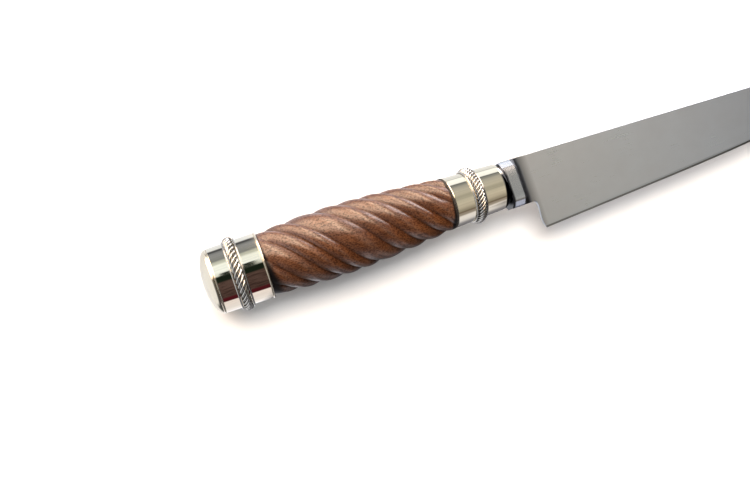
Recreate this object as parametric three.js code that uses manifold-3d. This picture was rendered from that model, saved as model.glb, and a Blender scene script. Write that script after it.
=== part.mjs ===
// Fixed-blade knife with a twisted wooden grip between two nickel-silver ferrules, in millimetres.
//
// The knife lies on its side. +X runs along the grip's axis to the tip of the blade, +Y points to
// the spine, and +Z is up. Inside the knife group the grip's axis is the X axis, and x is 0 at the
// rear rim of the rear ferrule. Angles round the axis start at +Z and grow towards the edge side, -Y.

import * as THREE from 'three';
import { mergeVertices } from 'three/addons/utils/BufferGeometryUtils.js';
import Module from 'manifold-3d';

const wasm = await Module();
wasm.setup();

// ---------------------------------------------------------------- driving dimensions

const ROUND_SIDES = 40;          // sides of a turned piece
const SMALL_SIDES = 24;          // sides of a small turned piece
const JOINT_GAP = 0.05;          // gap between pieces that touch
const CUT_GAP = 0.3;             // gap round a hole that is cut out

const REAR_FERRULE = { rear: 0, front: 19.8, rearRadius: 13.1, frontRadius: 13.5, bore: 12.3 };
const FRONT_FERRULE = { rear: 99.4, front: 125, rearRadius: 10.83, frontRadius: 9.67, wall: 0.8 };
const BEAD = { width: 1, height: 0.12 };                    // the raised front rim of the rear ferrule
const SHOULDER = { length: 3.4, drop: 2.6 };                // the rolled front edge of the front ferrule
const CAP = { height: 5, wall: 0.9, spigotLength: 1.6 };
const RIM_EASE = 0.12;           // the broken edge of a ferrule's rim
const SPACER = { width: 0.85, radius: 10.9 };

const GRIP = { rear: 19.9, front: 98.5, spigotRear: 6, spigotFront: 117, bore: 5.8 };
const GRIP_SPIGOT_RADIUS = { rear: 12.15, front: 8.95 };
const GRIP_SWELL = [12.55, 15.95, 13.8, 11];             // Bezier weights of the crest radius
const GRIP_STEPS = 30;
const LOBE_WIDTHS = [0.86, 0.77, 1.37, 1.02, 1.04, 0.88, 1.06];    // hand-cut, so not all alike
const LOBE_SEGMENTS = 6;
const GROOVE = { depth: 1.5, endDepth: 0.6, runOut: 5, anchor: 31.2, sharpness: 0.85 };
const TWIST_LEAD = { rear: 70, front: 62 };

const ROPE = { strands: 4, coil: 1.2, strandRadius: 0.66, crown: 0.72, base: 0.22, sides: 5, stepsPerTurn: 8 };
const PLAIN_WIRE = { radius: 0.35, sides: 6, segments: 36, space: 0.1 };
const REAR_ROPE = { x: 8.8, turns: 10 };
const FRONT_ROPE = { x: 110.3, turns: 11 };

const BOLSTER = { rear: 125.05, front: 130.4, fillet: 5.2 };
const BOLSTER_CORNERS = [[9.3, 3.3], [5.7, 6.5], [-8.3, 6.5], [-10.9, 3.3]];    // (y, z) of its upper half
const FILLET_SINK = 0.02;        // how far the fillet's end lies inside the blade
const FILLET_STEPS = 7;

const BLADE = { tip: 334, tipY: -1.2, root: 127, rootHalfThickness: 1.25, edgeHalfThickness: 0.3 };
const SPINE = { heelY: 9.55, dropPerMm: 0.022, curveStart: 262, reach: 26 };
const EDGE = { heelX: 137.6, heelY: -23.2, risePerMm: 0.05, curveStart: 205, reach: 34, bevel: 0.8 };
const HEEL = { neck: [136.3, -10.9], hollow: [138.6, -12.5], swell: [135.1, -18.9] };    // (x, y), downwards
const OUTLINE_STEPS = 16;

const TANG = { width: 8, thickness: 4, rear: 22, threadRadius: 3, threadEnd: -1.2 };
const NUT = { rear: 0.2, height: 4.6, acrossFlats: 10, bore: 3.05 };
const WASHER = { thickness: 1, radius: 9, bore: 3.3 };
const BUSH = { rear: 104, front: 116.6, radius: 5.5 };
const BEDDING = { rear: 30, front: 96, radius: 5.5 };
const END_PLATE = { thickness: 1.4, radius: 6.9 };

// ---------------------------------------------------------------- materials

const FINISHES = {
  steel: { color: 0xb9b9b4, roughness: 0.38, metalness: 1 },
  nickelSilver: { color: 0xe2ddd2, roughness: 0.12, metalness: 1 },
  hardwood: { color: 0x8a5636, roughness: 0.45, metalness: 0 },
  hardware: { color: 0x8c8c8c, roughness: 0.5, metalness: 1 },
  fibre: { color: 0x1a1614, roughness: 0.8, metalness: 0 },
  brassBush: { color: 0xb08d4a, roughness: 0.35, metalness: 1 },
  resin: { color: 0x3a2a1c, roughness: 0.6, metalness: 0 },
};

// ---------------------------------------------------------------- geometry helpers

// A copy of a geometry with only merged positions, its faces turned to point outwards.
function closedBody(geometry) {
  const bare = geometry.clone();
  bare.deleteAttribute('normal');
  bare.deleteAttribute('uv');
  const body = dropFlatTriangles(mergeVertices(bare, 1e-4));
  if (signedVolume(body) < 0) {
    body.index.array.reverse();
  }
  return body;
}

function dropFlatTriangles(geometry) {
  const kept = [];
  const index = geometry.index.array;
  for (let i = 0; i < index.length; i += 3) {
    const [a, b, c] = [index[i], index[i + 1], index[i + 2]];
    if (a !== b && b !== c && c !== a) {
      kept.push(a, b, c);
    }
  }
  geometry.setIndex(kept);
  return geometry;
}

function signedVolume(geometry) {
  const points = geometry.attributes.position;
  const index = geometry.index.array;
  const corners = [new THREE.Vector3(), new THREE.Vector3(), new THREE.Vector3()];
  let sum = 0;
  for (let i = 0; i < index.length; i += 3) {
    corners.forEach((corner, k) => corner.fromBufferAttribute(points, index[i + k]));
    sum += corners[0].dot(corners[1].clone().cross(corners[2]));
  }
  return sum / 6;
}

function toManifold(geometry) {
  const body = closedBody(geometry);
  const vertProperties = new Float32Array(body.attributes.position.array);
  const triVerts = new Uint32Array(body.index.array);
  return new wasm.Manifold(new wasm.Mesh({ numProp: 3, vertProperties, triVerts }));
}

function fromManifold(manifold) {
  const mesh = manifold.getMesh();
  const geometry = new THREE.BufferGeometry();
  geometry.setAttribute('position', new THREE.BufferAttribute(new Float32Array(mesh.vertProperties), 3));
  geometry.setIndex(Array.from(mesh.triVerts));
  return geometry;
}

// A body turned about the X axis from [x, radius] pairs.
function turned(profile, sides = ROUND_SIDES) {
  const points = profile.map(([x, radius]) => new THREE.Vector2(radius, x));
  return new THREE.LatheGeometry(points, sides).rotateZ(-Math.PI / 2);
}

// A plate of the given outline in the YZ plane, from x = rear to x = front.
function plateAcross(shape, rear, front) {
  const plate = new THREE.ExtrudeGeometry(shape, { depth: front - rear, bevelEnabled: false, curveSegments: 12 });
  return plate.rotateY(Math.PI / 2).rotateX(Math.PI / 2).translate(rear, 0, 0);
}

function roundShape(radius) {
  return new THREE.Shape().absarc(0, 0, radius, 0, 2 * Math.PI);
}

// The hole that the flat tang passes through.
function tangHole() {
  const halfWidth = TANG.width / 2 + CUT_GAP;
  const halfThickness = TANG.thickness / 2 + CUT_GAP;
  const hole = new THREE.Path();
  hole.moveTo(-halfWidth, -halfThickness);
  hole.lineTo(-halfWidth, halfThickness);
  hole.lineTo(halfWidth, halfThickness);
  hole.lineTo(halfWidth, -halfThickness);
  hole.closePath();
  return hole;
}

function slottedDisc(radius, rear, front) {
  const shape = roundShape(radius);
  shape.holes.push(tangHole());
  return plateAcross(shape, rear, front);
}

function between(start, end, steps) {
  return Array.from({ length: steps + 1 }, (_, i) => start + ((end - start) * i) / steps);
}

function smoothStep(t) {
  const s = Math.min(1, Math.max(0, t));
  return s * s * (3 - 2 * s);
}

// ---------------------------------------------------------------- ferrules and cap

function rearFerruleRadius(x) {
  const t = (x - REAR_FERRULE.rear) / (REAR_FERRULE.front - REAR_FERRULE.rear);
  return THREE.MathUtils.lerp(REAR_FERRULE.rearRadius, REAR_FERRULE.frontRadius, t);
}

function frontFerruleRadius(x) {
  const t = (x - FRONT_FERRULE.rear) / (FRONT_FERRULE.front - FRONT_FERRULE.rear);
  return THREE.MathUtils.lerp(FRONT_FERRULE.rearRadius, FRONT_FERRULE.frontRadius, t);
}

function rearFerruleSleeve() {
  const { rear, front, bore } = REAR_FERRULE;
  const beadRear = front - BEAD.width;
  const beadRadius = rearFerruleRadius(front) + BEAD.height;
  return turned([
    [rear, bore],
    [rear, rearFerruleRadius(rear) - RIM_EASE],
    [rear + RIM_EASE, rearFerruleRadius(rear)],
    [beadRear, rearFerruleRadius(beadRear)],
    [beadRear + BEAD.width / 4, beadRadius],
    [front - BEAD.width / 4, beadRadius],
    [front, beadRadius - BEAD.width / 4],
    [front, bore],
    [rear, bore],
  ]);
}

function frontFerruleSleeve() {
  const { rear, front, wall } = FRONT_FERRULE;
  const shoulderRear = front - SHOULDER.length;
  const rim = frontFerruleRadius(shoulderRear);
  const roundedFront = between(0, Math.PI / 2, 5).map((angle) => [
    shoulderRear + SHOULDER.length * Math.sin(angle),
    rim - SHOULDER.drop * (1 - Math.cos(angle)),
  ]);
  const mouth = END_PLATE.radius + JOINT_GAP;
  return turned([
    [rear, rearInnerRadius()],
    [rear, frontFerruleRadius(rear) - RIM_EASE],
    [rear + RIM_EASE, frontFerruleRadius(rear)],
    ...roundedFront,
    [front, mouth],
    [front - END_PLATE.thickness - wall / 2, mouth],
    [shoulderRear, rim - wall - CUT_GAP],
    [rear, rearInnerRadius()],
  ]);

  function rearInnerRadius() {
    return frontFerruleRadius(rear) - wall;
  }
}

function frontFerruleEndPlate() {
  const front = FRONT_FERRULE.front;
  return slottedDisc(END_PLATE.radius, front - END_PLATE.thickness, front);
}

function pommelCap() {
  const { height, wall, spigotLength } = CAP;
  const rim = REAR_FERRULE.rearRadius;
  const spigot = REAR_FERRULE.bore - JOINT_GAP;
  const back = REAR_FERRULE.rear - JOINT_GAP;
  const dome = (radius, depth) => between(0, Math.PI / 2, 7).map((angle) => [
    back - depth * Math.cos(angle),
    radius * Math.sin(angle),
  ]);
  const outside = dome(rim, height);
  const inside = dome(spigot - wall, height - wall).reverse();
  return turned([
    ...outside,
    [back, spigot],
    [back + spigotLength, spigot],
    [back + spigotLength, spigot - wall],
    ...inside,
  ]);
}

function spacerRing() {
  const rear = FRONT_FERRULE.rear - SPACER.width;
  const front = FRONT_FERRULE.rear - JOINT_GAP;
  const bore = GRIP_SPIGOT_RADIUS.front + JOINT_GAP;
  return turned([[rear, bore], [rear, SPACER.radius], [front, SPACER.radius], [front, bore], [rear, bore]]);
}

// ---------------------------------------------------------------- grip

// Radius of the grip over the crests of its lobes: a cubic Bezier swell along the grip.
function crestRadius(t) {
  const [a, b, c, d] = GRIP_SWELL;
  const s = 1 - t;
  return a * s ** 3 + 3 * b * s * s * t + 3 * c * s * t * t + d * t ** 3;
}

// Turns that the grooves have made at t, with a lead that shortens evenly from rear to front.
function twistTurns(t) {
  const length = GRIP.front - GRIP.rear;
  const shortening = TWIST_LEAD.rear - TWIST_LEAD.front;
  return (length / shortening) * Math.log(TWIST_LEAD.rear / (TWIST_LEAD.rear - shortening * t));
}

function gripPosition(x) {
  return Math.min(1, Math.max(0, (x - GRIP.rear) / (GRIP.front - GRIP.rear)));
}

function grooveDepth(x) {
  const fromEnd = Math.min(x - GRIP.rear, GRIP.front - x);
  return THREE.MathUtils.lerp(GROOVE.endDepth, GROOVE.depth, smoothStep(fromEnd / GROOVE.runOut));
}

// Angle of each side of the grip's section, six to a lobe, with a side's start in every groove.
function lobeAngles() {
  const total = LOBE_WIDTHS.reduce((sum, width) => sum + width, 0);
  const angles = [];
  let start = 0;
  for (const width of LOBE_WIDTHS) {
    for (let i = 0; i < LOBE_SEGMENTS; i += 1) {
      angles.push(((start + (width * i) / LOBE_SEGMENTS) / total) * 2 * Math.PI);
    }
    start += width;
  }
  return angles;
}

// The first groove passes straight up at the anchor, so this is where it starts at the rear. The
// lobes are numbered the other way round from the twist.
function grooveStart() {
  return -2 * Math.PI * twistTurns(gripPosition(GROOVE.anchor));
}

function gripBlank() {
  const barrel = between(GRIP.rear, GRIP.front, GRIP_STEPS).map((x) => [x, crestRadius(gripPosition(x))]);
  const profile = [
    [GRIP.spigotRear, 0],
    [GRIP.spigotRear, GRIP_SPIGOT_RADIUS.rear],
    [GRIP.rear, GRIP_SPIGOT_RADIUS.rear],
    ...barrel,
    [GRIP.front, GRIP_SPIGOT_RADIUS.front],
    [GRIP.spigotFront, GRIP_SPIGOT_RADIUS.front],
    [GRIP.spigotFront, 0],
  ];
  const blank = turned(profile, LOBE_WIDTHS.length * LOBE_SEGMENTS);
  carveLobes(blank);
  return blank;
}

// Turns each ring of the blank with the twist and sinks its outer skin between the lobes.
function carveLobes(blank) {
  const angles = lobeAngles();
  const points = blank.attributes.position;
  const sides = blank.attributes.uv;
  for (let i = 0; i < points.count; i += 1) {
    const x = points.getX(i);
    const side = Math.round(sides.getX(i) * angles.length) % angles.length;
    const radius = Math.hypot(points.getY(i), points.getZ(i));
    const angle = grooveStart() + 2 * Math.PI * twistTurns(gripPosition(x)) - angles[side];
    const spigot = x < GRIP.rear + 1 ? GRIP_SPIGOT_RADIUS.rear : GRIP_SPIGOT_RADIUS.front;
    const carved = radius > spigot + CUT_GAP;
    const bulge = Math.sin((Math.PI * (side % LOBE_SEGMENTS)) / LOBE_SEGMENTS) ** GROOVE.sharpness;
    const newRadius = carved ? radius - grooveDepth(x) * (1 - bulge) : radius;
    points.setXYZ(i, x, -newRadius * Math.sin(angle), newRadius * Math.cos(angle));
  }
}

function woodGrip() {
  const boreEnd = GRIP.spigotFront + 5;
  const bore = turned([[0, 0], [0, GRIP.bore], [boreEnd, GRIP.bore], [boreEnd, 0]], SMALL_SIDES);
  return fromManifold(toManifold(gripBlank()).subtract(toManifold(bore)));
}

// ---------------------------------------------------------------- wire rings

// One strand of a twisted wire that is bent into a ring and pressed flat on its inner side.
function ropeStrand(rope, seatRadius, strand) {
  const { strands, coil, strandRadius, crown, base, sides, stepsPerTurn } = ROPE;
  const centre = seatRadius + JOINT_GAP + base * (coil + strandRadius);
  const ring = new THREE.TorusGeometry(centre, strandRadius, sides, rope.turns * stepsPerTurn);
  const points = ring.attributes.position;
  const steps = ring.attributes.uv;
  for (let i = 0; i < points.count; i += 1) {
    const around = 2 * Math.PI * (steps.getX(i) % 1);
    const lay = rope.turns * around + (2 * Math.PI * strand) / strands;
    const section = lay + 2 * Math.PI * (steps.getY(i) % 1);
    const along = coil * Math.cos(lay) + strandRadius * Math.cos(section);
    const out = coil * Math.sin(lay) + strandRadius * Math.sin(section);
    const radius = centre + out * (out > 0 ? crown : base);
    points.setXYZ(i, rope.x + along, -radius * Math.sin(around), radius * Math.cos(around));
  }
  return ring;
}

function plainWire(x, seatRadius) {
  const { radius, sides, segments } = PLAIN_WIRE;
  const ring = new THREE.TorusGeometry(seatRadius + JOINT_GAP + radius, radius, sides, segments);
  return ring.rotateY(Math.PI / 2).translate(x, 0, 0);
}

// The twisted ring and its two plain wires, as [name, geometry] pairs.
function wireBand(side, rope, radiusAt) {
  const { coil, strandRadius, strands } = ROPE;
  const halfWidth = coil + strandRadius;
  const wireOffset = halfWidth + PLAIN_WIRE.space + PLAIN_WIRE.radius;
  const seat = Math.max(radiusAt(rope.x - halfWidth), radiusAt(rope.x + halfWidth));
  const pieces = [];
  for (let strand = 0; strand < strands; strand += 1) {
    pieces.push([`${side}_rope_strand_${strand + 1}`, ropeStrand(rope, seat, strand)]);
  }
  for (const [where, x] of [['rear', rope.x - wireOffset], ['front', rope.x + wireOffset]]) {
    const wireSeat = Math.max(radiusAt(x - PLAIN_WIRE.radius), radiusAt(x + PLAIN_WIRE.radius));
    pieces.push([`${side}_wire_${where}`, plainWire(x, wireSeat)]);
  }
  return pieces;
}

// ---------------------------------------------------------------- blade, bolster and tang

// Half the blade's thickness at a height y: a flat grind from the spine to the edge's shoulder.
function bladeHalfThickness(y) {
  const t = (y - EDGE.heelY) / (SPINE.heelY - EDGE.heelY);
  return THREE.MathUtils.lerp(BLADE.edgeHalfThickness, BLADE.rootHalfThickness, t);
}

function spineHeight(x) {
  return SPINE.heelY - SPINE.dropPerMm * (x - BOLSTER.front);
}

function edgeHeight(x) {
  return EDGE.heelY + EDGE.risePerMm * (x - EDGE.heelX);
}

// The sharpened run from the heel to the tip.
function cuttingEdge() {
  const { heelX, heelY, curveStart } = EDGE;
  const belly = new THREE.QuadraticBezierCurve(
    new THREE.Vector2(curveStart, edgeHeight(curveStart)),
    new THREE.Vector2(BLADE.tip - EDGE.reach, edgeHeight(BLADE.tip - EDGE.reach)),
    new THREE.Vector2(BLADE.tip, BLADE.tipY),
  );
  return [new THREE.Vector2(heelX, heelY), ...belly.getPoints(OUTLINE_STEPS)];
}

// The blunt run from the tip back along the spine, and down the back of the heel.
function bluntOutline() {
  const start = new THREE.Vector2(SPINE.curveStart, spineHeight(SPINE.curveStart));
  const control = new THREE.Vector2(BLADE.tip - SPINE.reach, spineHeight(BLADE.tip - SPINE.reach));
  const point = new THREE.Vector2(BLADE.tip, BLADE.tipY);
  const spine = new THREE.QuadraticBezierCurve(point, control, start).getPoints(OUTLINE_STEPS).slice(1);
  const neck = new THREE.Vector2(...HEEL.neck);
  const heel = new THREE.CubicBezierCurve(
    neck,
    new THREE.Vector2(...HEEL.hollow),
    new THREE.Vector2(...HEEL.swell),
    new THREE.Vector2(EDGE.heelX, EDGE.heelY),
  );
  return [
    ...spine,
    new THREE.Vector2(BLADE.root, spineHeight(BOLSTER.front)),
    new THREE.Vector2(BLADE.root, neck.y),
    ...heel.getPoints(8).slice(0, -1),
  ];
}

// The edge's shoulder: each point of the cutting edge moved into the blade by the bevel's height.
function bevelShoulder(edge) {
  return edge.map((point, i) => {
    const before = edge[Math.max(0, i - 1)];
    const after = edge[Math.min(edge.length - 1, i + 1)];
    const along = after.clone().sub(before).normalize();
    return new THREE.Vector2(point.x - along.y * EDGE.bevel, point.y + along.x * EDGE.bevel);
  });
}

// The plate of the blade, with two flat faces, a blunt spine and a sharpened edge.
function bladePlate() {
  const edge = cuttingEdge();
  const blunt = bluntOutline();
  const shoulder = bevelShoulder(edge);
  shoulder[0].x = edge[0].x;
  shoulder[shoulder.length - 1].set(BLADE.tip - 2.2 * EDGE.bevel, BLADE.tipY + 0.25 * EDGE.bevel);
  const rim = [...edge, ...blunt];
  const face = [...shoulder, ...blunt];
  const count = rim.length;
  const level = (points, side) => points.flatMap((p) => [p.x, p.y, side * bladeHalfThickness(p.y)]);
  const positions = [...level(face, 1), ...level(rim, 0), ...level(face, -1)];
  const triangles = [];
  for (const [a, b, c] of THREE.ShapeUtils.triangulateShape(face, [])) {
    triangles.push(a, b, c, a + 2 * count, c + 2 * count, b + 2 * count);
  }
  for (let i = 0; i < count; i += 1) {
    const next = (i + 1) % count;
    for (const layer of [0, count]) {
      const below = layer + count;
      triangles.push(layer + next, layer + i, below + i, layer + next, below + i, below + next);
    }
  }
  const plate = new THREE.BufferGeometry();
  plate.setAttribute('position', new THREE.Float32BufferAttribute(positions, 3));
  plate.setIndex(triangles);
  return plate;
}

// Eight corners of the bolster's section, with fade from 0 on the block to 1 just inside the blade.
function bolsterSection(fade) {
  const upper = BOLSTER_CORNERS.map(([y, z]) => [
    y,
    THREE.MathUtils.lerp(z, bladeHalfThickness(y) - FILLET_SINK, fade),
  ]);
  const lower = upper.map(([y, z]) => [y, -z]).reverse();
  return [...upper, ...lower];
}

// The bolster: a short faceted block whose front runs into the blade through a hollow fillet.
function bolsterBlock() {
  const stations = [[BOLSTER.rear, 0]];
  for (const angle of between(0, Math.PI / 2, FILLET_STEPS)) {
    stations.push([BOLSTER.front + BOLSTER.fillet * (1 - Math.cos(angle)), Math.sin(angle)]);
  }
  return loft(stations.map(([x, fade]) => bolsterSection(fade).map(([y, z]) => [x, y, z])));
}

// A closed solid through sections that have the same number of corners.
function loft(sections) {
  const corners = sections[0].length;
  const triangles = [];
  for (let s = 0; s < sections.length - 1; s += 1) {
    for (let i = 0; i < corners; i += 1) {
      const [a, b] = [s * corners + i, s * corners + ((i + 1) % corners)];
      triangles.push(a, b, b + corners, a, b + corners, a + corners);
    }
  }
  const last = (sections.length - 1) * corners;
  for (let i = 1; i < corners - 1; i += 1) {
    triangles.push(0, i + 1, i, last, last + i, last + i + 1);
  }
  const body = new THREE.BufferGeometry();
  body.setAttribute('position', new THREE.Float32BufferAttribute(sections.flat(2), 3));
  body.setIndex(triangles);
  return body;
}

function tangBar() {
  const length = BOLSTER.rear + 1 - TANG.rear;
  return new THREE.BoxGeometry(length, TANG.width, TANG.thickness).translate(TANG.rear + length / 2, 0, 0);
}

function tangThread() {
  const { threadRadius, threadEnd, rear } = TANG;
  return turned([
    [threadEnd, 0],
    [threadEnd, threadRadius - 0.5],
    [threadEnd + 0.5, threadRadius],
    [rear + 1, threadRadius],
    [rear + 1, 0],
  ], SMALL_SIDES);
}

function blade() {
  const forging = [bolsterBlock(), tangBar(), tangThread()].reduce(
    (body, piece) => body.add(toManifold(piece)),
    toManifold(bladePlate()),
  );
  return fromManifold(forging);
}

// ---------------------------------------------------------------- hidden hardware

function tangNut() {
  const shape = new THREE.Shape();
  const cornerRadius = NUT.acrossFlats / Math.sqrt(3);
  for (let i = 0; i < 6; i += 1) {
    const angle = (i * Math.PI) / 3;
    const corner = [cornerRadius * Math.cos(angle), cornerRadius * Math.sin(angle)];
    if (i === 0) {
      shape.moveTo(...corner);
    } else {
      shape.lineTo(...corner);
    }
  }
  shape.closePath();
  shape.holes.push(new THREE.Path().absarc(0, 0, NUT.bore, 0, 2 * Math.PI, true));
  return plateAcross(shape, NUT.rear, NUT.rear + NUT.height);
}

function tangWasher() {
  const front = GRIP.spigotRear - JOINT_GAP;
  const rear = front - WASHER.thickness;
  const { radius, bore } = WASHER;
  return turned([[rear, bore], [rear, radius], [front, radius], [front, bore], [rear, bore]], SMALL_SIDES);
}

function tangBush() {
  return slottedDisc(BUSH.radius, BUSH.rear, BUSH.front);
}

function resinBedding() {
  return slottedDisc(BEDDING.radius, BEDDING.rear, BEDDING.front);
}

// ---------------------------------------------------------------- assembly

const PIECES = [
  ['blade', blade(), 'steel'],
  ['wood_grip', woodGrip(), 'hardwood'],
  ['front_ferrule_sleeve', frontFerruleSleeve(), 'nickelSilver'],
  ['front_ferrule_end_plate', frontFerruleEndPlate(), 'nickelSilver'],
  ['grip_spacer_ring', spacerRing(), 'fibre'],
  ['rear_ferrule_sleeve', rearFerruleSleeve(), 'nickelSilver'],
  ['pommel_cap', pommelCap(), 'nickelSilver'],
  ...wireBand('front', FRONT_ROPE, frontFerruleRadius).map(([name, body]) => [name, body, 'nickelSilver']),
  ...wireBand('rear', REAR_ROPE, rearFerruleRadius).map(([name, body]) => [name, body, 'nickelSilver']),
  ['tang_nut', tangNut(), 'hardware'],
  ['tang_washer', tangWasher(), 'hardware'],
  ['tang_bush', tangBush(), 'brassBush'],
  ['resin_bedding', resinBedding(), 'resin'],
];

const knife = new THREE.Group();
for (const [name, body, finish] of PIECES) {
  const mesh = new THREE.Mesh(closedBody(body), new THREE.MeshStandardMaterial(FINISHES[finish]));
  mesh.name = name;
  knife.add(mesh);
}

// The origin is at the middle of the knife's outline, on the surface that it lies on.
const extent = new THREE.Box3().setFromObject(knife, true);
const middle = extent.getCenter(new THREE.Vector3());
knife.position.set(-middle.x, -middle.y, -extent.min.z);
knife.updateMatrixWorld(true);

export default knife;
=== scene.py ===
"""Looks of a fixed-blade knife with a twisted wooden grip and nickel-silver ferrules.

Sizes in the tables below are millimetres in the knife's own coordinates: x runs along the grip's
axis from the rear rim of the rear ferrule to the blade's tip, y is towards the spine and z is up,
both from the axis. Angles round the axis start straight up and grow towards the cutting edge.
"""

import math

import bpy
from mathutils import Matrix, Vector


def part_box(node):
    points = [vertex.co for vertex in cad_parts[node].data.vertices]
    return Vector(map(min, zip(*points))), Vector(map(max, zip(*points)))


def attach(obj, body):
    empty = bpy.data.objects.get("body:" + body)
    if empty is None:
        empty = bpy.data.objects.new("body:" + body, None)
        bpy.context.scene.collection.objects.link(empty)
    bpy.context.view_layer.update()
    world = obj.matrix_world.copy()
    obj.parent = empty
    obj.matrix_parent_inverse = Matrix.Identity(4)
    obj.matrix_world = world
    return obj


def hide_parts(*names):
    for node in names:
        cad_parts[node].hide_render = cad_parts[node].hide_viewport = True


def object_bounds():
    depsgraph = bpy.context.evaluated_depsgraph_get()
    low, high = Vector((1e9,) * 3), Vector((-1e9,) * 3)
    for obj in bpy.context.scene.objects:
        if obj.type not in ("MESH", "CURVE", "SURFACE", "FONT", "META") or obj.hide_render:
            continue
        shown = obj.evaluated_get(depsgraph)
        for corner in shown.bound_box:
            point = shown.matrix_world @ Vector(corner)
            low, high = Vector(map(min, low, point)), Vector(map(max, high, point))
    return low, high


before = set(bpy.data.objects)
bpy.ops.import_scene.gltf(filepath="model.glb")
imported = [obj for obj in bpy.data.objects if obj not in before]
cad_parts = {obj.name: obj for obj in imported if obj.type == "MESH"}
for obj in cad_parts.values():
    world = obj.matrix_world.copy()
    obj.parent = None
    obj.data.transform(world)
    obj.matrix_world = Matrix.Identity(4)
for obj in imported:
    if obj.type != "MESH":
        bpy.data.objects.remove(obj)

CAD_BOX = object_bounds()
MM = 0.001

# ---------------------------------------------------------------- driving dimensions

ROUND_SIDES = 128

REAR_FERRULE = {"rear": 0.0, "front": 19.8, "rear_radius": 13.1, "front_radius": 13.5, "bore": 12.3}
FRONT_FERRULE = {"rear": 99.4, "front": 125.0, "rear_radius": 10.83, "front_radius": 9.67}
SHOULDER = {"length": 3.4, "drop": 2.6}
FRONT_FERRULE_MOUTH = 6.95
FRONT_FERRULE_WALL = 0.8
CAP = {"height": 5.0, "wall": 0.9, "spigot_radius": 12.25, "spigot_length": 1.55}

GRIP = {"rear": 19.9, "front": 98.5, "spigot_rear": 6.0, "spigot_front": 117.0, "bore": 5.8}
GRIP_SPIGOT = {"rear": 12.15, "front": 8.95}
GRIP_SWELL = (12.55, 15.95, 13.8, 11.0)
GRIP_RINGS = 170
BORE_RINGS = 30
LOBE_WIDTHS = (0.86, 0.77, 1.37, 1.02, 1.04, 0.88, 1.06)
LOBE_SEGMENTS = 24
GROOVE = {"depth": 1.5, "end_depth": 0.6, "run_out": 5.0, "anchor": 31.2, "sharpness": 0.85}
# Width in millimetres of the shade painted along each groove.
GROOVE_SHADE_WIDTH = 1.1
# Painted shade at the ends of the grip, in the gaps at the ferrules: its narrowest and widest width and the
# angle of the side where it is widest.
REAR_END_SHADE = {"narrow": 0.25, "wide": 3.4, "side": 60.0}
FRONT_END_SHADE = {"narrow": 0.15, "wide": 1.6, "side": 75.0}
TWIST_LEAD = {"rear": 70.0, "front": 62.0}

ROPE = {"strands": 4, "coil": 1.13, "strand_radius": 0.755, "crown": 0.71, "base": 0.2}
ROPE_SIDES = 12
ROPE_STEPS_PER_TURN = 16
REAR_ROPE = {"x": 8.8, "turns": 10}
FRONT_ROPE = {"x": 110.3, "turns": 11}
PLAIN_WIRE = {"radius": 0.35, "offset": 2.31, "sides": 14}
SEAT_GAP = 0.05

BOLSTER = {"rear": 125.05, "front": 130.4, "fillet": 5.2, "corner": 1.1}
BOLSTER_SECTION = ((9.3, 3.3), (5.7, 6.3), (2.2, 6.5), (-4.8, 6.5), (-8.3, 6.3), (-10.9, 3.3))
BOLSTER_EASE = {"length": 0.3, "y": 0.97, "z": 0.96}
FILLET_SINK = 0.02
FILLET_STEPS = 16
CORNER_FADE = 0.8
CORNER_STEPS = 4

BLADE = {"tip": 334.0, "tip_y": -1.2, "root": 127.0, "spine_half": 1.25, "edge_half": 0.3}
SPINE = {"y": 9.55, "drop": 0.022, "curve_start": 262.0, "reach": 26.0}
EDGE = {"heel_x": 137.6, "heel_y": -23.2, "rise": 0.05, "curve_start": 205.0, "reach": 34.0}
EDGE_BEVEL = 0.8
EDGE_LAND = 0.03
SPINE_EASE = 0.22
HEEL_NECK, HEEL_HOLLOW, HEEL_SWELL = (136.3, -10.9), (138.6, -12.5), (135.1, -18.9)
HEEL_STEPS = 16
CURVE_STEPS = 40
NEARLY_STRAIGHT = 0.05

TANG = {"width": 8.0, "thickness": 4.0, "rear": 22.0, "thread_radius": 3.0, "thread_end": -1.2}
ROD_SIDES = 32

# These three are metres.
FLOOR_HALF = 4.0
SCRATCH_DEPTH = 0.00002
GRAIN_DEPTH = 0.0001

# Painted shade on the metal, at the front ferrule's mouth, the bolster's joint and the fillet: it starts and
# is complete at these stations, in x or in y.
MOUTH_SHADE = {"x": (121.8, 122.6), "y": (6.5, 3.5), "spine_side_x": (123.2, 123.8)}
JOINT_SHADE = {"x": (126.3, 125.6), "y": (6.5, 2.5)}
FILLET_SHADE = {"x": (139.2, 133.4), "depth": 0.85}
# The black of the shade painted on the metal.
PAINTED_SHADE_BLACK = (0.02, 0.02, 0.022)

# The roll is in degrees and the clip distance in metres.
CAMERA = {"eye": (7.74, -19.72, 282.02), "target": (63.87, -8.21, 0.0), "roll": 19.29}
LENS = {"sensor": 36.0, "focal": 33.89, "clip": 0.01}


def axis_origin():
    """The point on the grip's axis at the rear rim of the rear ferrule, in the frame."""
    low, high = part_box("rear_ferrule_sleeve")
    return Vector((low.x, (low.y + high.y) / 2, (low.z + high.z) / 2))


ORIGIN = axis_origin()


def place(x, y, z):
    """A point given in the knife's millimetres, in the frame's metres."""
    return ORIGIN + Vector((x, y, z)) * MM


def around(x, radius, angle):
    """A point at a radius and an angle round the grip's axis."""
    return place(x, -radius * math.sin(angle), radius * math.cos(angle))


def lerp(a, b, t):
    return a + (b - a) * t


def smooth_step(t):
    t = min(1.0, max(0.0, t))
    return t * t * (3 - 2 * t)


def spread(start, end, steps):
    return [lerp(start, end, i / steps) for i in range(steps + 1)]


# ---------------------------------------------------------------- node helpers


def new_material(name):
    material = bpy.data.materials.new(name)
    material.use_nodes = True
    return material


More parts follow.
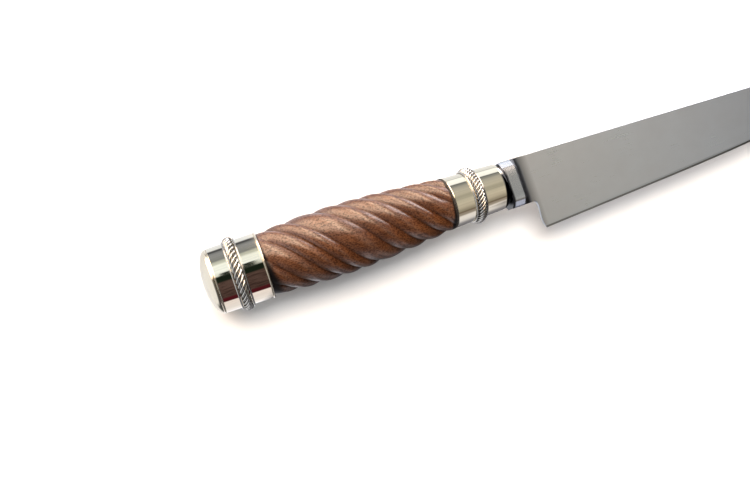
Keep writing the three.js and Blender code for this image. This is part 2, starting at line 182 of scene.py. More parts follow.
class Nodes:
    """Adds and links nodes in one tree."""

    def __init__(self, tree):
        self.tree = tree

    def add(self, kind, **values):
        node = self.tree.nodes.new(kind)
        for name, value in values.items():
            setattr(node, name, value)
        return node

    def link(self, source, target):
        self.tree.links.new(source, target)

    def position(self, scale):
        """Object coordinates in the frame, scaled to suit a pattern."""
        coordinates = self.add("ShaderNodeTexCoord")
        mapping = self.add("ShaderNodeMapping")
        mapping.inputs["Scale"].default_value = scale
        self.link(coordinates.outputs["Object"], mapping.inputs["Vector"])
        return mapping.outputs["Vector"]

    def noise(self, scale, detail=4.0, roughness=0.55, distortion=0.0):
        noise = self.add("ShaderNodeTexNoise")
        noise.inputs["Scale"].default_value = 1.0
        noise.inputs["Detail"].default_value = detail
        noise.inputs["Roughness"].default_value = roughness
        noise.inputs["Distortion"].default_value = distortion
        self.link(self.position(scale), noise.inputs["Vector"])
        return noise.outputs["Fac"]

    def ramp(self, source, stops):
        ramp = self.add("ShaderNodeValToRGB")
        elements = ramp.color_ramp.elements
        while len(elements) < len(stops):
            elements.new(0.5)
        for element, (position, colour) in zip(elements, stops):
            element.position = position
            element.color = (*colour, 1.0)
        self.link(source, ramp.inputs["Fac"])
        return ramp.outputs["Color"]

    def remap(self, source, low, high, to_low, to_high):
        node = self.add("ShaderNodeMapRange")
        limits = {"From Min": low, "From Max": high, "To Min": to_low, "To Max": to_high}
        for name, value in limits.items():
            node.inputs[name].default_value = value
        self.link(source, node.inputs["Value"])
        return node.outputs["Result"]

    def mix(self, factor, a, b):
        node = self.add("ShaderNodeMix", data_type="RGBA")
        for socket, value in ((node.inputs[0], factor), (node.inputs[6], a), (node.inputs[7], b)):
            if isinstance(value, bpy.types.NodeSocket):
                self.link(value, socket)
            elif isinstance(value, tuple):
                socket.default_value = (*value, 1.0)
            else:
                socket.default_value = value
        return node.outputs[2]

    def math(self, operation, a, b=0.0):
        node = self.add("ShaderNodeMath", operation=operation)
        for socket, value in zip(node.inputs, (a, b)):
            if isinstance(value, bpy.types.NodeSocket):
                self.link(value, socket)
            else:
                socket.default_value = value
        return node.outputs[0]

    def bump(self, height, strength, distance):
        node = self.add("ShaderNodeBump")
        node.inputs["Strength"].default_value = strength
        node.inputs["Distance"].default_value = distance
        self.link(height, node.inputs["Height"])
        return node.outputs["Normal"]


def principled(material):
    return material.node_tree.nodes["Principled BSDF"]


# ---------------------------------------------------------------- materials


# Bare metals: clean colour, tarnished colour, roughness from and to, scale of the scratches, relief.
SILVER = ((0.87, 0.81, 0.68), (0.80, 0.73, 0.60))
METALS = {
    "nickel_silver": (*SILVER, (0.025, 0.05), (500.0, 2500.0, 2500.0), 0.08),
    "silver_with_painted_shade": (*SILVER, (0.025, 0.05), (500.0, 2500.0, 2500.0), 0.08),
    "satin_silver": (*SILVER, (0.13, 0.20), (500.0, 2500.0, 2500.0), 0.08),
    "twisted_wire": ((0.64, 0.63, 0.61), (0.40, 0.39, 0.365), (0.10, 0.18), (2500.0, 2500.0, 2500.0), 0.12),
    "blade_steel": ((0.70, 0.75, 0.835), (0.65, 0.695, 0.775), (0.28, 0.34), (35.0, 2600.0, 2600.0), 0.12),
    "bolster_steel": ((0.62, 0.655, 0.745), (0.55, 0.585, 0.665), (0.15, 0.21), (2200.0, 160.0, 160.0), 0.15),
    "ground_edge": ((0.36, 0.375, 0.40), (0.30, 0.31, 0.33), (0.30, 0.40), (2600.0, 300.0, 300.0), 0.5),
    "hardware_steel": ((0.45, 0.45, 0.45), (0.33, 0.31, 0.30), (0.32, 0.5), (1500.0, 1500.0, 1500.0), 0.3),
    "bush_brass": ((0.70, 0.53, 0.26), (0.52, 0.38, 0.18), (0.2, 0.34), (1500.0, 1500.0, 1500.0), 0.25),
}

WOOD = {
    "dark": (0.038, 0.010, 0.0025),
    "middle": (0.074, 0.021, 0.005),
    "light": (0.120, 0.039, 0.010),
    "streak": (0.160, 0.060, 0.020),
    "pore": (0.016, 0.004, 0.001),
    # Painted shade in the grooves.
    "groove": (0.030, 0.008, 0.003),
    # Painted shade at the ends of the grip.
    "end_shade": (0.004, 0.003, 0.003),
}


def beyond(nodes, axis, stations):
    """0 before the first station of the knife and 1 past the second, in millimetres along X or Y."""
    split = nodes.add("ShaderNodeSeparateXYZ")
    nodes.link(nodes.position((1.0, 1.0, 1.0)), split.inputs[0])
    low, high = (ORIGIN["XY".index(axis)] + station * MM for station in stations)
    return nodes.remap(split.outputs[axis], low, high, 0.0, 1.0)


def painted_mouth_shade(nodes):
    """Painted shade: the front ferrule is painted black round its mouth, in a crescent that is narrow on the
    spine side.
    """
    wide = beyond(nodes, "X", MOUTH_SHADE["x"])
    crescent = nodes.math("MULTIPLY", wide, beyond(nodes, "Y", MOUTH_SHADE["y"]))
    return nodes.math("MAXIMUM", beyond(nodes, "X", MOUTH_SHADE["spine_side_x"]), crescent)


def painted_joint_shade(nodes):
    """Painted shade: the bolster is painted black where it meets the ferrule, but for the spine side."""
    return nodes.math("MULTIPLY", beyond(nodes, "X", JOINT_SHADE["x"]), beyond(nodes, "Y", JOINT_SHADE["y"]))


def painted_fillet_shade(nodes):
    """Painted shade in the hollow between bolster and blade, fading out along the blade."""
    return nodes.math("MULTIPLY", beyond(nodes, "X", FILLET_SHADE["x"]), FILLET_SHADE["depth"])


def metal(name, painted_shade=None):
    """Bare metal: a colour that clouds a little, hazy patches and fine scratches along one way.

    Where a mask of painted shade is given, it is a function of the nodes that says how much shade is painted
    black onto the metal.
    """
    colour, tarnish, roughness, scratches, relief = METALS[name]
    material = new_material(name)
    nodes = Nodes(material.node_tree)
    shader = principled(material)
    shader.inputs["Metallic"].default_value = 1.0
    clouds = nodes.noise((60.0, 60.0, 60.0), detail=5.0)
    base = nodes.ramp(clouds, [(0.35, colour), (0.75, tarnish)])
    if painted_shade:
        # Painted shade: the metal's colour is mixed towards black by the mask.
        base = nodes.mix(painted_shade(nodes), base, PAINTED_SHADE_BLACK)
    nodes.link(base, shader.inputs["Base Color"])
    lines = nodes.noise(scratches, detail=6.0, roughness=0.7)
    haze = nodes.remap(clouds, 0.3, 0.8, *roughness)
    worn = nodes.remap(lines, 0.3, 0.7, 0.9, 1.1)
    nodes.link(nodes.math("MULTIPLY", haze, worn), shader.inputs["Roughness"])
    nodes.link(nodes.bump(lines, relief, SCRATCH_DEPTH), shader.inputs["Normal"])
    return material


def wood_colour(nodes, fine, pores, end_shade):
    """Broad tones and streaks along the grip, dark pores, and painted shade in the grooves and at the ends.
    """
    broad = nodes.noise((22.0, 130.0, 130.0), detail=5.0, distortion=0.6)
    tone = nodes.ramp(broad, [(0.30, WOOD["dark"]), (0.5, WOOD["middle"]), (0.72, WOOD["light"])])
    streaked = nodes.mix(nodes.remap(fine, 0.38, 0.62, 0.0, 0.5), tone, WOOD["streak"])
    specked = nodes.mix(nodes.remap(pores, 0.48, 0.60, 0.0, 0.85), streaked, WOOD["pore"])
    groove = nodes.add("ShaderNodeAttribute", attribute_name="groove").outputs["Fac"]
    # Painted shade darkens the grooves.
    sunk = nodes.mix(nodes.math("MULTIPLY", groove, 0.4), specked, WOOD["groove"])
    # Painted shade at the ends, in the gaps at the ferrules.
    return nodes.mix(end_shade, sunk, WOOD["end_shade"])


def hardwood():
    """Red-brown hardwood under a satin varnish that the pores show through."""
    material = new_material("hardwood")
    nodes = Nodes(material.node_tree)
    shader = principled(material)
    fine = nodes.noise((260.0, 1500.0, 1500.0), detail=4.0, roughness=0.65)
    pores = nodes.noise((1200.0, 2200.0, 2200.0), detail=2.0, roughness=0.6)
    # Where shade is painted at the ends, the varnish is left off as well.
    end_shade = nodes.add("ShaderNodeAttribute", attribute_name="end_shade").outputs["Fac"]
    nodes.link(wood_colour(nodes, fine, pores, end_shade), shader.inputs["Base Color"])
    nodes.link(nodes.remap(fine, 0.3, 0.7, 0.34, 0.48), shader.inputs["Roughness"])
    worn = nodes.remap(pores, 0.44, 0.60, 1.0, 0.45)
    varnish = nodes.math("MULTIPLY", nodes.math("SUBTRACT", 1.0, end_shade), worn)
    nodes.link(varnish, shader.inputs["Coat Weight"])
    shader.inputs["Specular IOR Level"].default_value = 0.2
    shader.inputs["Coat Roughness"].default_value = 0.29
    shader.inputs["Coat IOR"].default_value = 1.85
    relief = nodes.math("SUBTRACT", fine, nodes.math("MULTIPLY", pores, 0.7))
    nodes.link(nodes.bump(relief, 0.5, GRAIN_DEPTH), shader.inputs["Normal"])
    return material


def mottled(name, scale, dark, light, roughness):
    """A dull material that is mottled between two colours."""
    material = new_material(name)
    nodes = Nodes(material.node_tree)
    shader = principled(material)
    mottle = nodes.noise((scale, scale, scale))
    nodes.link(nodes.ramp(mottle, [(0.3, dark), (0.8, light)]), shader.inputs["Base Color"])
    nodes.link(nodes.remap(mottle, 0.2, 0.8, *roughness), shader.inputs["Roughness"])
    return material


def spacer_fibre():
    return mottled("spacer_fibre", 900.0, (0.010, 0.008, 0.006), (0.035, 0.028, 0.022), (0.55, 0.8))


def bedding_resin():
    return mottled("bedding_resin", 300.0, (0.06, 0.03, 0.015), (0.14, 0.08, 0.04), (0.35, 0.6))


# ---------------------------------------------------------------- mesh helpers


def piece(name, points, faces, materials, node, sharp=35.0):
    """A mesh piece that stands for one CAD node and rides on the knife."""
    mesh = bpy.data.meshes.new(name)
    mesh.from_pydata([tuple(p) for p in points], [], faces)
    mesh.validate()
    for material in materials:
        mesh.materials.append(material)
    mesh.polygons.foreach_set("use_smooth", [True] * len(mesh.polygons))
    mesh.set_sharp_from_angle(angle=math.radians(sharp))
    made = bpy.data.objects.new(name, mesh)
    bpy.context.scene.collection.objects.link(made)
    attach(made, "root")
    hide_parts(node)
    return made


def ring_faces(rings, sides, closed, offset=0):
    """Quads between rings of points. A closed body joins its last ring to its first."""
    faces = []
    last = rings if closed else rings - 1
    for ring in range(last):
        following = (ring + 1) % rings
        for side in range(sides):
            beside = (side + 1) % sides
            faces.append((
                offset + ring * sides + side,
                offset + following * sides + side,
                offset + following * sides + beside,
                offset + ring * sides + beside,
            ))
    return faces


def turned(profile):
    """A ring-shaped body turned about the grip's axis from a loop of (x, radius) pairs."""
    points = []
    for x, radius in profile:
        for side in range(ROUND_SIDES):
            points.append(around(x, radius, 2 * math.pi * side / ROUND_SIDES))
    return points, ring_faces(len(profile), ROUND_SIDES, closed=True)


def arc(centre_x, centre_radius, radius_x, radius_r, start, end, steps):
    """(x, radius) pairs along an elliptical arc, with angles in degrees from the +X direction."""
    found = []
    for angle in spread(math.radians(start), math.radians(end), steps):
        found.append((centre_x + radius_x * math.cos(angle), centre_radius + radius_r * math.sin(angle)))
    return found


# ---------------------------------------------------------------- ferrules and cap


def rear_ferrule_radius(x):
    t = (x - REAR_FERRULE["rear"]) / (REAR_FERRULE["front"] - REAR_FERRULE["rear"])
    return lerp(REAR_FERRULE["rear_radius"], REAR_FERRULE["front_radius"], t)


def front_ferrule_radius(x):
    t = (x - FRONT_FERRULE["rear"]) / (FRONT_FERRULE["front"] - FRONT_FERRULE["rear"])
    return lerp(FRONT_FERRULE["rear_radius"], FRONT_FERRULE["front_radius"], t)


def rear_sleeve(material):
    """A slightly flared sleeve with an eased rear rim and a rolled bead at its front rim."""
    rear, front, bore = REAR_FERRULE["rear"], REAR_FERRULE["front"], REAR_FERRULE["bore"]
    ease, bead, proud = 0.2, 0.42, 0.12
    wall_start, wall_end = rear + 0.6, front - 2.3 * bead
    bead_radius = rear_ferrule_radius(front) - bead + proud
    profile = [(rear, bore)]
    profile += arc(rear + ease, rear_ferrule_radius(rear) - ease, ease, ease, 180, 90, 5)
    profile += [(x, rear_ferrule_radius(x)) for x in spread(wall_start, wall_end, 12)]
    profile += arc(front - bead, bead_radius, bead, bead, 165, 0, 10)
    profile += [(front, bore)]
    points, faces = turned(profile)
    piece("rear_ferrule", points, faces, [material], "rear_ferrule_sleeve")


def front_sleeve(material):
    """A tapered sleeve whose front end rolls over to a narrow mouth."""
    rear, front = FRONT_FERRULE["rear"], FRONT_FERRULE["front"]
    length, drop = SHOULDER["length"], SHOULDER["drop"]
    ease, mouth_length, inner_step = 0.15, 1.8, 0.3
    wall_start, wall_end = rear + 0.5, front - length - 0.4
    rim = front_ferrule_radius(front - length)
    inner_rear = front_ferrule_radius(rear) - FRONT_FERRULE_WALL
    profile = [(rear, inner_rear)]
    profile += arc(rear + ease, front_ferrule_radius(rear) - ease, ease, ease, 180, 90, 5)
    profile += [(x, front_ferrule_radius(x)) for x in spread(wall_start, wall_end, 14)]
    profile += arc(front - length, rim - drop, length, drop, 90, 0, 20)
    profile += [(front, FRONT_FERRULE_MOUTH), (front - mouth_length, FRONT_FERRULE_MOUTH)]
    profile += [(front - length, rim - FRONT_FERRULE_WALL - inner_step)]
    points, faces = turned(profile)
    piece("front_ferrule", points, faces, [material], "front_ferrule_sleeve")


def pommel_cap(material):
    """A hollow dome with a short spigot that sits inside the rear sleeve."""
    back = REAR_FERRULE["rear"] - SEAT_GAP
    rim, spigot = REAR_FERRULE["rear_radius"], CAP["spigot_radius"]
    height, wall = CAP["height"], CAP["wall"]
    step = back + CAP["spigot_length"]
    ease = 0.3
    tiny = 0.01
    outside = arc(back - ease, 0.0, height - ease, rim, 180, 96, 22)[1:]
    outside += arc(back - ease, rim - ease, ease, ease, 75, 0, 4)
    inside = arc(back, 0.0, height - wall, spigot - wall, 90, 180, 12)[:-1]
    profile = [(back - height, tiny)] + outside
    profile += [(back, spigot), (step, spigot), (step, spigot - wall)]
    profile += inside + [(back - height + wall, tiny)]
    points, faces = turned(profile)
    piece("pommel_cap_dome", points, faces, [material], "pommel_cap")


# ---------------------------------------------------------------- grip


def crest_radius(t):
    """Radius over the crests of the lobes: a cubic Bezier swell along the grip."""
    a, b, c, d = GRIP_SWELL
    s = 1 - t
    return a * s**3 + 3 * b * s * s * t + 3 * c * s * t * t + d * t**3


def grip_position(x):
    return min(1.0, max(0.0, (x - GRIP["rear"]) / (GRIP["front"] - GRIP["rear"])))


def twist_turns(t):
    """Turns that the grooves have made at t, with a lead that shortens evenly towards the front."""
    length = GRIP["front"] - GRIP["rear"]
    shortening = TWIST_LEAD["rear"] - TWIST_LEAD["front"]
    return length / shortening * math.log(TWIST_LEAD["rear"] / (TWIST_LEAD["rear"] - shortening * t))


def groove_depth(x):
    from_end = min(x - GRIP["rear"], GRIP["front"] - x)
    return lerp(GROOVE["end_depth"], GROOVE["depth"], smooth_step(from_end / GROOVE["run_out"]))


def lobe_sides():
    """(angle, share of the way across its lobe, lobe's width) for each side of the section."""
    total = sum(LOBE_WIDTHS)
    sides, start = [], 0.0
    for width in LOBE_WIDTHS:
        for i in range(LOBE_SEGMENTS):
            share = i / LOBE_SEGMENTS
            angle = 2 * math.pi * (start + width * share) / total
            sides.append((angle, share, 2 * math.pi * width / total))
        start += width
    return sides


def grip_rings():
    """(x, radius, whether it is carved) along the grip's outside and back through its bore."""
    rings = [(GRIP["spigot_rear"], GRIP_SPIGOT["rear"], False), (GRIP["rear"], GRIP_SPIGOT["rear"], False)]
    for x in spread(GRIP["rear"], GRIP["front"], GRIP_RINGS):
        rings.append((x, crest_radius(grip_position(x)), True))
    rings.append((GRIP["front"], GRIP_SPIGOT["front"], False))
    rings.append((GRIP["spigot_front"], GRIP_SPIGOT["front"], False))
    for x in spread(GRIP["spigot_front"], GRIP["spigot_rear"], BORE_RINGS):
        rings.append((x, GRIP["bore"], False))
    return rings


def painted_end_shade(from_end, angle, end_shade):
    """Painted shade near an end of the grip: a dark line that widens round to the edge side."""
    toward_edge = (1 + math.cos(angle - math.radians(end_shade["side"]))) / 2
    width = lerp(end_shade["narrow"], end_shade["wide"], toward_edge**5)
    return 1 - smooth_step(from_end / width - 0.5)


def wood_grip(material):
    sides = lobe_sides()
    start = -2 * math.pi * twist_turns(grip_position(GROOVE["anchor"]))
    points, grooves, end_shades = [], [], []
    rings = grip_rings()
    for x, radius, carved in rings:
        turn = start + 2 * math.pi * twist_turns(grip_position(x))
        for angle, share, width in sides:
            bulge = math.sin(math.pi * share) ** GROOVE["sharpness"]
            sunk = groove_depth(x) * (1 - bulge) if carved else 0.0
            points.append(around(x, radius - sunk, turn - angle))
            # How much shade is painted at this point in a groove.
            from_groove = min(share, 1 - share) * width * radius
            grooves.append(math.exp(-((from_groove / GROOVE_SHADE_WIDTH) ** 2)) if carved else 0.0)
            # Painted shade at both ends of the grip.
            rear = painted_end_shade(x - GRIP["rear"], turn - angle, REAR_END_SHADE)
            front = painted_end_shade(GRIP["front"] - x, turn - angle, FRONT_END_SHADE)
            end_shades.append(max(rear, front))
    made = piece("twisted_grip", points, ring_faces(len(rings), len(sides), closed=True),
                 [material], "wood_grip", sharp=60.0)
    for name, values in (("groove", grooves), ("end_shade", end_shades)):
        attribute = made.data.attributes.new(name, "FLOAT", "POINT")
        attribute.data.foreach_set("value", values)


# ---------------------------------------------------------------- wire rings


def strand(side, rope, seat, number, material):
    """One strand of a twisted wire, bent into a ring and pressed flat on its inner side."""
    coil, thickness = ROPE["coil"], ROPE["strand_radius"]
    centre = seat + SEAT_GAP + ROPE["base"] * (coil + thickness)
    steps = rope["turns"] * ROPE_STEPS_PER_TURN
    points = []
    for step in range(steps):
        angle = 2 * math.pi * step / steps
        lay = rope["turns"] * angle + 2 * math.pi * number / ROPE["strands"]
        for corner in range(ROPE_SIDES):
            section = lay + 2 * math.pi * corner / ROPE_SIDES
            along = coil * math.cos(lay) + thickness * math.cos(section)
            out = coil * math.sin(lay) + thickness * math.sin(section)
            radius = centre + out * (ROPE["crown"] if out > 0 else ROPE["base"])
            points.append(around(rope["x"] + along, radius, angle))
    faces = ring_faces(steps, ROPE_SIDES, closed=True)
    node = f"{side}_rope_strand_{number + 1}"
    piece(f"{side}_strand_{number + 1}", points, faces, [material], node, sharp=80.0)


def plain_wire(side, where, x, seat, material):
    radius, sides = PLAIN_WIRE["radius"], PLAIN_WIRE["sides"]
    profile = arc(x, seat + SEAT_GAP + radius, radius, radius, 0, 360, sides)[:-1]
    points, faces = turned(profile)
    piece(f"{side}_plain_wire_{where}", points, faces, [material], f"{side}_wire_{where}")


def wire_band(side, rope, radius_at, material):
    half_width = ROPE["coil"] + ROPE["strand_radius"]
    seat = max(radius_at(rope["x"] - half_width), radius_at(rope["x"] + half_width))
    for number in range(ROPE["strands"]):
        strand(side, rope, seat, number, material)
    for where, offset in (("rear", -PLAIN_WIRE["offset"]), ("front", PLAIN_WIRE["offset"])):
        x = rope["x"] + offset
        plain_wire(side, where, x, radius_at(x), material)


# ---------------------------------------------------------------- blade, bolster and tang


def blade_half(y):
    """Half the blade's thickness at a height y: a flat grind from the spine to the edge."""
    t = (y - EDGE["heel_y"]) / (SPINE["y"] - EDGE["heel_y"])
    return lerp(BLADE["edge_half"], BLADE["spine_half"], t)


def spine_height(x):
    return SPINE["y"] - SPINE["drop"] * (x - BOLSTER["front"])


def edge_height(x):
    return EDGE["heel_y"] + EDGE["rise"] * (x - EDGE["heel_x"])


def bezier(points, steps):
    """Points along a Bezier curve of any degree."""
    found = []
    degree = len(points) - 1
    for i in range(steps + 1):
        t = i / steps
        weights = [math.comb(degree, k) * t**k * (1 - t) ** (degree - k) for k in range(degree + 1)]
        found.append(tuple(sum(w * p[axis] for w, p in zip(weights, points)) for axis in (0, 1)))
    return found


def cutting_edge():
    start = EDGE["curve_start"]
    control = BLADE["tip"] - EDGE["reach"]
    point = (BLADE["tip"], BLADE["tip_y"])
    belly = bezier([(start, edge_height(start)), (control, edge_height(control)), point], CURVE_STEPS)
    return [(EDGE["heel_x"], EDGE["heel_y"]), *belly]


def blunt_outline():
    """From the tip back along the spine to the neck, and down the back of the heel."""
    start = SPINE["curve_start"]
    control = BLADE["tip"] - SPINE["reach"]
    point = (BLADE["tip"], BLADE["tip_y"])
    spine = bezier([point, (control, spine_height(control)), (start, spine_height(start))], CURVE_STEPS)
    heel = bezier([HEEL_NECK, HEEL_HOLLOW, HEEL_SWELL, (EDGE["heel_x"], EDGE["heel_y"])], HEEL_STEPS)
    root = BLADE["root"]
    return [*spine[1:], (root, spine_height(BOLSTER["front"])), (root, HEEL_NECK[1]), *heel[:-1]]


def inset(points, distances):
    """Moves each side of a closed, anticlockwise outline inwards by its own distance."""
    moved = []
    count = len(points)
    for i, point in enumerate(points):
        here = Vector(point)
        before = (here - Vector(points[i - 1])).normalized()
        after = (Vector(points[(i + 1) % count]) - here).normalized()
        first, second = Vector((-before.y, before.x)), Vector((-after.y, after.x))
        d1, d2 = distances[i - 1], distances[i]
        cross = first.x * second.y - first.y * second.x
        if abs(cross) < NEARLY_STRAIGHT:
            moved.append(here + (first + second).normalized() * (d1 + d2) / 2)
        else:
            x = (d1 * second.y - d2 * first.y) / cross
            y = (first.x * d2 - second.x * d1) / cross
            moved.append(here + Vector((x, y)))
    return [(p.x, p.y) for p in moved]


def blade_plate():
    """Points and faces of the plate, and which of its faces are the bevels of the cutting edge."""
    edge, blunt = cutting_edge(), blunt_outline()
    outline = edge + blunt
    sharp_sides = len(edge)
    distances = [EDGE_BEVEL] * sharp_sides + [SPINE_EASE] * len(blunt)
    face = inset(outline, distances)
    count = len(outline)

    def wall_half(i):
        is_sharp = i <= sharp_sides
        return EDGE_LAND if is_sharp else blade_half(outline[i][1]) - SPINE_EASE

    points = [place(x, y, blade_half(y)) for x, y in face]
    points += [place(x, y, wall_half(i)) for i, (x, y) in enumerate(outline)]
    points += [place(x, y, -wall_half(i)) for i, (x, y) in enumerate(outline)]
    points += [place(x, y, -blade_half(y)) for x, y in face]
    faces = [tuple(range(count)), tuple(range(4 * count - 1, 3 * count - 1, -1))]
    bevels = set()
    for layer in range(3):
        for i in range(count):
            j = (i + 1) % count
            top, low = layer * count, (layer + 1) * count
            if i < sharp_sides:
                bevels.add(len(faces))
            faces.append((top + j, top + i, low + i, low + j))
    return points, faces, bevels


def bolster_outline(fade):
    """Rounded faceted section as (y, z), with fade from 0 on the block to 1 inside the blade."""
    right = [(y, lerp(z, blade_half(y) - FILLET_SINK, fade)) for y, z in BOLSTER_SECTION]
    corners = right + [(y, -z) for y, z in reversed(right)]
    rounded = []
    for i, corner in enumerate(corners):
        here = Vector(corner)
        before, after = Vector(corners[i - 1]), Vector(corners[(i + 1) % len(corners)])
        reach = BOLSTER["corner"] * (1 - CORNER_FADE * fade)
        start = here + (before - here).normalized() * reach
        end = here + (after - here).normalized() * reach
        rounded += bezier([tuple(start), tuple(here), tuple(end)], CORNER_STEPS)
    return rounded


def bolster_block(offset):
    """Points and faces of the block and its fillet, and how many of the faces are the block's own."""
    rear, ease = BOLSTER["rear"], BOLSTER_EASE
    rings = [[(rear, y * ease["y"], z * ease["z"]) for y, z in bolster_outline(0.0)]]
    rings.append([(rear + ease["length"], y, z) for y, z in bolster_outline(0.0)])
    for angle in spread(0.0, math.pi / 2, FILLET_STEPS):
        x = BOLSTER["front"] + BOLSTER["fillet"] * (1 - math.cos(angle))
        rings.append([(x, y, z) for y, z in bolster_outline(math.sin(angle))])
    sides = len(rings[0])
    points = [place(*p) for ring in rings for p in ring]
    faces = ring_faces(len(rings), sides, closed=False, offset=offset)
    last = offset + (len(rings) - 1) * sides
    faces.append(tuple(range(offset + sides - 1, offset - 1, -1)))
    faces.append(tuple(range(last, last + sides)))
    return points, faces, 2 * sides


def tang_bar(offset):
    """Points and faces of the flat tang."""
    half_width, half_thickness = TANG["width"] / 2, TANG["thickness"] / 2
    points = []
    for x in (TANG["rear"], BOLSTER["rear"] + 1):
        for y in (-half_width, half_width):
            points += [place(x, y, -half_thickness), place(x, y, half_thickness)]
    corners = [(0, 1, 3, 2), (4, 6, 7, 5), (0, 4, 5, 1), (2, 3, 7, 6), (0, 2, 6, 4), (1, 5, 7, 3)]
    return points, [tuple(offset + c for c in face) for face in corners], 0


def tang_rod(offset):
    """Points and faces of the tang's round, threaded end."""
    sides = ROD_SIDES
    points = []
    for x in (TANG["thread_end"], TANG["rear"] + 1):
        points += [around(x, TANG["thread_radius"], 2 * math.pi * i / sides) for i in range(sides)]
    faces = ring_faces(2, sides, closed=False, offset=offset)
    faces.append(tuple(range(offset + sides - 1, offset - 1, -1)))
    faces.append(tuple(range(offset + sides, offset + 2 * sides)))
    return points, faces, 0


def blade(materials):
    """The forging. Its plate and fillet are satin, its block polished and its cutting edge ground."""
    satin, polished, ground = range(len(materials))
    points, faces, bevels = blade_plate()
    finish = [ground if i in bevels else satin for i in range(len(faces))]
    for body in (bolster_block, tang_bar, tang_rod):
        more_points, more_faces, polished_faces = body(len(points))
        points += more_points
        faces += more_faces
        finish += [polished if i < polished_faces else satin for i in range(len(more_faces))]
    made = piece("forged_blade", points, faces, materials, "blade", sharp=28.0)
    made.data.polygons.foreach_set("material_index", finish)


# ---------------------------------------------------------------- stage, light and camera


def floor():
    """A large pale floor that the knife lies on."""
    low = CAD_BOX[0][2]
    mesh = bpy.data.meshes.new("floor")
    corners = [(x * FLOOR_HALF, y * FLOOR_HALF, low) for x, y in ((-1, -1), (1, -1), (1, 1), (-1, 1))]
    mesh.from_pydata(corners, [], [(0, 1, 2, 3)])
    made = bpy.data.objects.new("floor", mesh)
    bpy.context.scene.collection.objects.link(made)
    material = new_material("floor_paper")
    nodes = Nodes(material.node_tree)
    shader = principled(material)
    shader.inputs["Roughness"].default_value = 0.9
    shader.inputs["Specular IOR Level"].default_value = 0.1
    mottle = nodes.noise((40.0, 40.0, 40.0))
    paper = nodes.ramp(mottle, [(0.2, (0.86, 0.86, 0.855)), (0.8, (0.88, 0.88, 0.88))])
    nodes.link(paper, shader.inputs["Base Color"])
    mesh.materials.append(material)
    made.visible_glossy = False


# What surrounds the knife, painted by direction: "ahead" is a direction's X, and the angle is in
# degrees from straight up towards the cutting edge. Each list of (angle, colour) is one strip of the
# studio. The rear ferrule mirrors the first, the crests of the grip the second, and the front ferrule
# and the blade the third. The slopes of the grip mirror the last two, and the cap the last.
REAR_BANDS = [
    (-180, (0.95, 1.0, 1.08)), (-119, (0.95, 1.0, 1.08)), (-114, (0.09, 0.095, 0.11)),
    (-105, (0.09, 0.095, 0.11)), (-100, (0.25, 0.27, 0.30)), (-90, (0.33, 0.35, 0.39)),
    (-63, (0.27, 0.29, 0.30)), (-57, (0.60, 0.64, 0.60)),
    (-50, (0.70, 0.75, 0.70)), (-44, (1.1, 1.18, 1.18)), (-22, (0.98, 1.06, 1.08)), (-9, (0.80, 0.86, 0.82)),
    (-5, (0.010, 0.016, 0.010)), (12, (0.010, 0.016, 0.010)), (16, (0.110, 0.070, 0.062)),
    (70, (0.085, 0.050, 0.045)), (74, (0.085, 0.010, 0.016)), (87, (0.075, 0.008, 0.013)),
    (90, (0.96, 0.88, 0.90)), (130, (0.98, 0.95, 1.0)), (180, (1.3, 1.3, 1.4)),
]
MIDDLE_BANDS = [
    (-180, (1.0, 1.0, 1.05)), (-118, (1.2, 1.15, 1.2)), (-108, (0.7, 0.65, 0.65)), (-94, (0.9, 0.85, 0.8)),
    (-84, (7.6, 5.9, 4.4)), (-24, (7.8, 5.8, 4.1)), (-8, (0.03, 0.025, 0.02)), (58, (0.02, 0.02, 0.02)),
    (70, (0.16, 0.16, 0.17)), (126, (0.16, 0.16, 0.17)), (150, (0.08, 0.08, 0.09)), (180, (0.08, 0.08, 0.09)),
]
FRONT_BANDS = [
    (-180, (0.02, 0.02, 0.02)), (-169, (0.02, 0.02, 0.02)), (-163, (0.97, 1.0, 1.04)),
    (-112, (0.93, 0.96, 1.0)), (-109, (0.36, 0.38, 0.40)), (-106, (1.2, 1.25, 1.28)),
    (-74, (1.2, 1.25, 1.28)), (-71, (0.17, 0.18, 0.18)), (-60, (0.31, 0.32, 0.31)), (-50, (0.48, 0.47, 0.43)),
    (-22, (0.58, 0.55, 0.47)), (-8, (0.44, 0.42, 0.35)), (4, (0.46, 0.44, 0.37)), (18, (0.64, 0.60, 0.50)),
    (36, (0.58, 0.53, 0.44)), (60, (0.32, 0.29, 0.23)), (66, (0.16, 0.12, 0.09)), (72, (0.34, 0.30, 0.26)),
    (80, (0.36, 0.32, 0.28)), (86, (0.85, 0.82, 0.84)), (112, (0.80, 0.79, 0.83)), (128, (0.36, 0.36, 0.40)),
    (142, (0.22, 0.22, 0.25)), (168, (0.20, 0.20, 0.22)), (174, (0.02, 0.02, 0.02)),
]
AHEAD_BANDS = [
    (-180, (0.012, 0.012, 0.013)), (-120, (0.012, 0.012, 0.013)), (-112, (4.6, 4.3, 4.3)),
    (-66, (4.6, 4.3, 4.3)), (-54, (0.60, 0.60, 0.60)), (60, (0.54, 0.54, 0.52)), (100, (0.012, 0.012, 0.013)),
]
BEHIND_BANDS = [
    (-180, (0.95, 0.94, 0.95)), (-100, (0.95, 0.94, 0.95)), (-88, (4.6, 3.7, 2.9)), (-24, (4.6, 3.5, 2.6)),
    (-4, (0.20, 0.19, 0.17)), (60, (0.10, 0.10, 0.10)), (85, (0.07, 0.07, 0.075)), (143, (0.09, 0.09, 0.095)),
    (155, (0.95, 0.94, 0.95)), (180, (0.95, 0.94, 0.95)),
]
BACKDROP = (0.93, 0.93, 0.93, 1.0)
NEAR_WHITE = (0.98, 0.98, 1.0)
BLACK = (0.012, 0.012, 0.013)
DARK_GREEN = (0.012, 0.018, 0.012)
